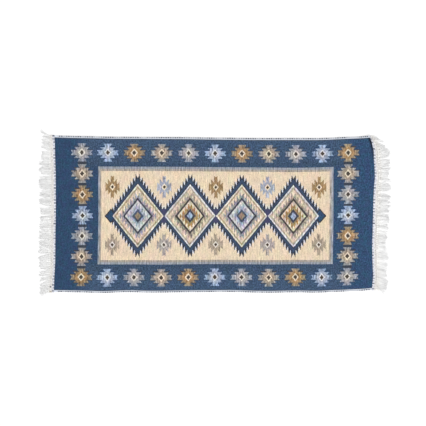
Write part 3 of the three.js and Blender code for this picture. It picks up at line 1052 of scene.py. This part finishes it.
def make_binding(name, node, side, material):
    """Two cords side by side, wrapped by slanted stitches"""
    edge_v = CLOTH_FAR if side > 0 else CLOTH_NEAR
    steps = round((CLOTH_END - CLOTH_START) / STITCH) * STEPS_PER_STITCH
    u = np.linspace(CLOTH_START, CLOTH_END, steps + 1)
    v = np.full_like(u, edge_v)
    x, y = lay(u, v)
    floor = lift(u, v, x, y)
    out, up = np.array(BINDING_SECTION).T
    centre = np.array([BINDING_WIDTH / 2, THICKNESS / 2])
    slant = np.arange(len(out)) / len(out)
    wrap = abs(np.sin(np.pi * (u[:, None] / STITCH + slant)))
    shrink = 1 - STITCH_DEPTH / centre[1] * (1 - wrap)
    rise = centre[1] + (up - centre[1]) * shrink
    reach = centre[0] + (out - centre[0]) * (1 - STITCH_DEPTH_ACROSS * (1 - shrink))
    points = np.stack([
        np.broadcast_to(x[:, None], rise.shape),
        y[:, None] + side * (PIECE_GAP + reach),
        floor[:, None] + np.maximum(rise, 0),
    ], -1)
    number = np.arange(points.size // 3).reshape(rise.shape)
    around = np.concatenate([number, number[:, :1]], 1)
    girth = np.append(out, out[0])
    flat = flat_grid(u, girth)
    shape = Shape()
    order = 1 if side > 0 else -1
    walls = quads(around)[:, ::order]
    caps = np.stack([number[0, ::-order], number[-1, ::order]])
    cap_flat = np.stack([flat[0, :-1][::-order], flat[-1, :-1][::order]])
    shape.add(points, (walls, quads(flat)[:, ::order]), (caps, cap_flat))
    piece = new_piece(name, shape, material)
    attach(piece, "root")
    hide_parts(node)
    return piece


def cloth_end(end, v):
    """The cloth's edge at an end, flat and on the floor, and the share of the strip's width"""
    edge_u = np.full_like(v, CLOTH_END if end.side > 0 else CLOTH_START)
    return edge_u, *lay(edge_u, v), np.interp(v, *zip(*end.strip_share))


def strip_shape(end):
    """The ribbed strip that an end's warps are bound into"""
    ribs = round((FRINGE_FAR - FRINGE_NEAR) / RIB)
    v = np.linspace(FRINGE_NEAR, FRINGE_FAR, ribs * ROWS_PER_RIB + 1)
    width, inset = end.strip, STRIP_STEPS.inset
    out = np.concatenate([
        [0, STRIP_STEPS.first],
        np.linspace(inset, width - inset, STRIP_STEPS.count),
        [width - STRIP_STEPS.last, width],
    ])
    out = out[:: end.side]
    flat_out, flat_v = np.meshgrid(out, v, indexing="ij")
    edge_u, x, y, share = cloth_end(end, flat_v)
    floor = lift(edge_u, flat_v, x, y) * (1 - smooth(flat_out / width))
    x = x + end.side * (PIECE_GAP + flat_out * share)
    from_side = np.minimum(flat_out, width - flat_out)
    from_end = np.minimum(flat_v - v[0], v[-1] - flat_v)
    return sheet_shape(
        end.side * out, v, x, y, floor, STRIP_HEIGHT, np.minimum(from_side, from_end)
    )


def lock_tips(end, v, root_y, random):
    """Where the tips of an end's bundles lie"""
    side = end.side
    clump = np.cumsum(random.random(BUNDLES) < CLUMPING)
    clump_y = np.array([root_y[clump == number].mean() for number in clump])
    drift = np.interp(v, *zip(*end.drift))
    outline = Outline(end.name)
    low, high = root_y.min() - TIPS.beside, root_y.max() + TIPS.beside
    stations = np.linspace(low, high, TIPS.samples)
    reach = np.array([outline.span(0, at)[0 if side < 0 else 1] for at in stations])
    tip_y = root_y + (clump_y - root_y) * CLUMP_PULL + drift
    tip_y = tip_y + random.normal(0, TIPS.wander, BUNDLES)
    window = abs(stations - np.clip(tip_y, low, high)[:, None]) < TIPS.window
    tip_x = np.where(window, side * reach, -np.inf).max(1) * side
    shorter = random.random(BUNDLES) ** 2 * TIPS.shorter
    return tip_x - side * (shorter + np.interp(v, *zip(*end.shorter))), tip_y


def add_yarns(shape, end, root_x, root_y, tip_x, tip_y, random):
    """Adds the loose yarns of each bundle, in lanes and in two layers"""
    side = end.side
    share = np.linspace(0, 1, YARN_STEPS)
    lanes = len(YARN_LANES)
    count = BUNDLES * lanes
    bundle = np.repeat(np.arange(BUNDLES), lanes)
    lane = np.tile(YARN_LANES, BUNDLES)
    reach_x = tip_x[bundle] + side * (random.normal(*YARN.reach, count) + end.longer)
    start_x = root_x[bundle] - side * YARN.root_depth
    x = start_x[:, None] + (reach_x - start_x)[:, None] * share

    spread = YARN.lane + YARN.lane_growth * np.sqrt(share)
    wave = random.normal(0, YARN_BEND.wave, (count, 1))
    wave = wave * np.sin(np.pi * share * random.uniform(*YARN_BEND.turns, (count, 1)))
    fan = random.normal(0, YARN_BEND.fan, (count, 1)) * share ** YARN_BEND.power
    lean = (tip_y - root_y)[bundle] * random.uniform(*YARN_BEND.lean, count)
    y = root_y[bundle][:, None] + lean[:, None] * share ** YARN_BEND.power
    y = y + lane[:, None] * spread + wave + fan

    settled = smooth((share - YARN_LAYERS.settles_from) / YARN_LAYERS.settles_over)
    raised = YARN_LAYERS.lower + (lane % 2)[:, None] * YARN_LAYERS.upper
    z = YARN_RADIUS + raised * (1 - settled)
    thinner = YARN_TIP.thinner * smooth((share - YARN_TIP.start) / YARN_TIP.over)
    radius = np.broadcast_to(YARN_RADIUS * (1 - thinner), x.shape)
    centres = np.stack([x, y, z], -1)
    along = side * (abs(x - start_x[:, None]) + end.strip)
    first = FIRST_YARN + bundle * BUNDLE_GAP + np.tile(np.arange(lanes), BUNDLES) * YARN_GAP
    wide, high = radius * YARN_FLATNESS, radius / YARN_FLATNESS
    tube_shape(shape, centres, wide, high, YARN.sides, along, first)


def add_knots(shape, end, root_x, root_y, random):
    side = end.side
    share = np.linspace(0, 1, KNOT.steps)
    x = root_x[:, None] + side * (KNOT.start + KNOT.length * share)
    y = np.broadcast_to(root_y[:, None], x.shape)
    girth = np.sin(np.pi * (KNOT_FORM.cut + KNOT_FORM.rest * share))
    girth = girth ** KNOT_FORM.fullness * (1 - KNOT_FORM.waist * np.cos(4 * np.pi * share))
    size = random.uniform(*KNOT_FORM.size, (BUNDLES, 1))
    wide = KNOT.wide * girth * size
    high = KNOT.high * girth * size
    z = np.broadcast_to(high.max(1, keepdims=True), x.shape)
    along = side * (abs(x - root_x[:, None]) + end.strip)
    first = FIRST_YARN + (np.arange(BUNDLES) + 1) * BUNDLE_GAP - YARN_GAP
    tube_shape(shape, np.stack([x, y, z], -1), wide, high, KNOT.sides, along, first)


def make_fringe(end, material):
    """The strip and its knotted bundles of loose yarn"""
    shape = strip_shape(end)
    random = np.random.default_rng(end.seed)
    pitch = (FRINGE_FAR - FRINGE_NEAR) / BUNDLES
    v = FRINGE_NEAR + pitch * (np.arange(BUNDLES) + 0.5)
    _, edge_x, root_y, share = cloth_end(end, v)
    root_x = edge_x + end.side * (PIECE_GAP + end.strip * share)
    tip_x, tip_y = lock_tips(end, v, root_y, random)
    add_yarns(shape, end, root_x, root_y, tip_x, tip_y, random)
    add_knots(shape, end, root_x, root_y, random)
    piece = new_piece(f"{end.name}_yarn", shape, material)
    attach(piece, "root")
    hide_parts(end.name)
    return piece


# Floor, light and camera

FLOOR_SIZE = 90
FLOOR_DROP = 0.2
FLOOR_TONE = 0.93
SUN = Values(strength=1.5, angle=50, tilt=38, turn=35)
SKY_STRENGTH = 0.78
CAMERA_LENS = 100
SENSOR = 36
VIEW_WIDTH = 1823
VIEW_MIDDLE = (-4.9, -4.8)


def make_stage():
    """A pale floor, soft studio light and a camera straight above"""
    scene = bpy.context.scene
    bpy.ops.mesh.primitive_plane_add(size=FLOOR_SIZE, location=(0, 0, -FLOOR_DROP * MM))
    floor = bpy.context.object
    floor.name = "floor"
    paper, surface = plain_material("floor_paper", 0.9, 0.1)
    surface["Base Color"].default_value = (FLOOR_TONE, FLOOR_TONE, FLOOR_TONE, 1)
    floor.data.materials.append(paper)

    scene.world = bpy.data.worlds.new("studio")
    scene.world.use_nodes = True
    sky = scene.world.node_tree.nodes["Background"]
    sky.inputs["Color"].default_value = (1, 1, 1, 1)
    sky.inputs["Strength"].default_value = SKY_STRENGTH

    sun = bpy.data.lights.new("soft_key", "SUN")
    sun.energy = SUN.strength
    sun.angle = np.radians(SUN.angle)
    lamp = bpy.data.objects.new("soft_key", sun)
    lamp.rotation_euler = (np.radians(SUN.tilt), 0, np.radians(SUN.turn))
    scene.collection.objects.link(lamp)

    lens = bpy.data.cameras.new("camera")
    lens.lens = CAMERA_LENS
    lens.sensor_width = SENSOR
    camera = bpy.data.objects.new("camera", lens)
    distance = VIEW_WIDTH * CAMERA_LENS / SENSOR + THICKNESS
    camera.location = (VIEW_MIDDLE[0] * MM, VIEW_MIDDLE[1] * MM, distance * MM)
    scene.collection.objects.link(camera)
    scene.camera = camera
    scene.view_settings.view_transform = "Standard"


make_stage()
cloth = make_cloth(wool_material())
binding = binding_material()
bindings = [
    make_binding("binding_far_cords", "binding_far", 1, binding),
    make_binding("binding_near_cords", "binding_near", -1, binding),
]
fringe = fringe_material()
fringes = [make_fringe(end, fringe) for end in (LEFT_FRINGE, RIGHT_FRINGE)]
